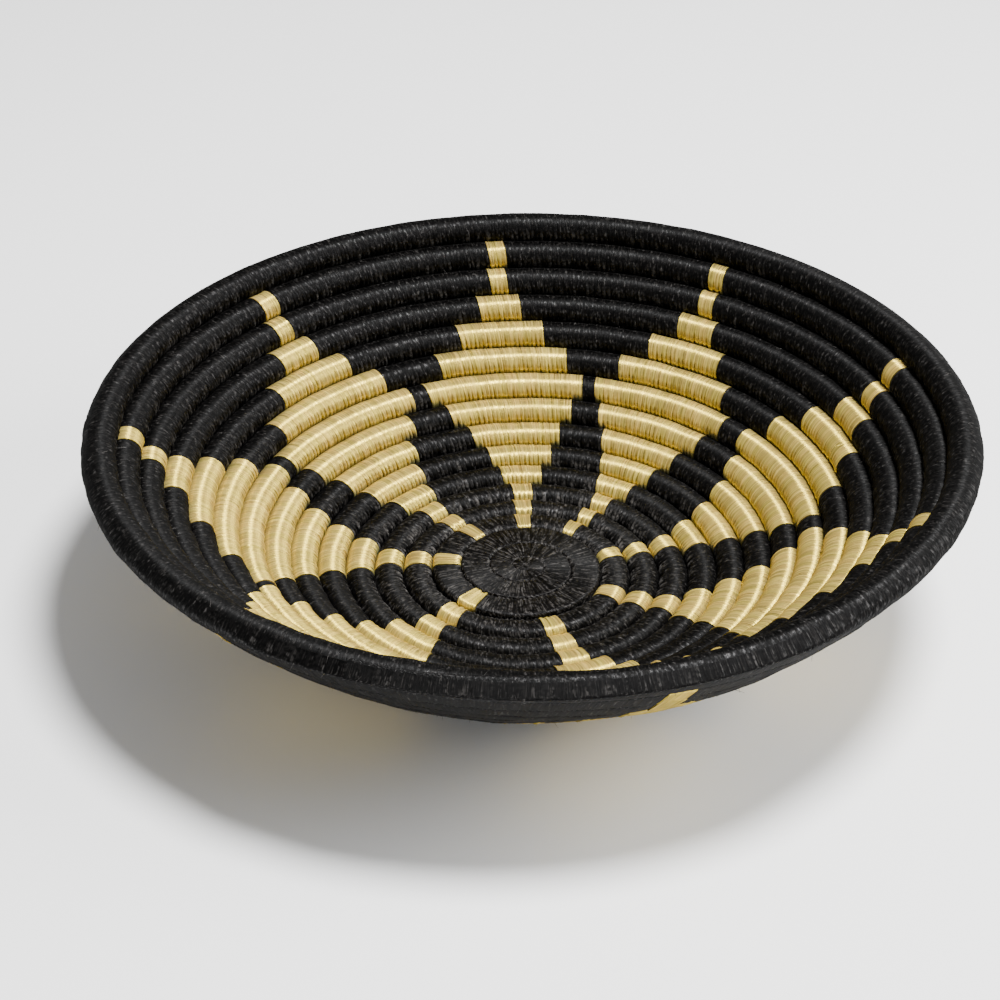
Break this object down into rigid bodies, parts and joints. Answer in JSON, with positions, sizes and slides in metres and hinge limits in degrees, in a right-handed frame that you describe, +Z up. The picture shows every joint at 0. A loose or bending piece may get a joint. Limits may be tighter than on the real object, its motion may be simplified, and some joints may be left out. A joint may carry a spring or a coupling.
{
  "type": "coiled basket",
  "caption": "Round open bowl basket: one spiral grass core wrapped in black and natural sisal, with a stepped star inside and out and a rim that ends in a thin tail.",
  "frame": {"origin": "middle of the basket's box, on the surface that its base rests on", "axes": "+Z up out of the bowl; the bowl's own axis is parallel to Z at x -1.68 mm, y -1.71 mm, because the spiral reaches further out on one side"},
  "size_m": [0.297, 0.2944, 0.0786],
  "materials": {
    "black_sisal": "black dyed sisal fibre, wrapped side by side, satin",
    "natural_sisal": "undyed straw-coloured sisal fibre, wrapped side by side, satin; the rows of the star also have black stretches",
    "grass": "dry grass stems, matt"
  },
  "bodies": {
    "root": {"grass_core": "grass", "start_turn": "black_sisal", "base_turn_1": "black_sisal", "base_turn_2": "black_sisal", "pattern_row_01": "natural_sisal", "pattern_row_02": "natural_sisal", "pattern_row_03": "natural_sisal", "pattern_row_04": "natural_sisal", "pattern_row_05": "natural_sisal", "pattern_row_06": "natural_sisal", "pattern_row_07": "natural_sisal", "pattern_row_08": "natural_sisal", "pattern_row_09": "natural_sisal", "pattern_row_10": "natural_sisal", "pattern_row_11": "natural_sisal", "pattern_row_12": "natural_sisal", "pattern_row_13": "natural_sisal", "rim_turn": "black_sisal"}
  },
  "joints": []
}
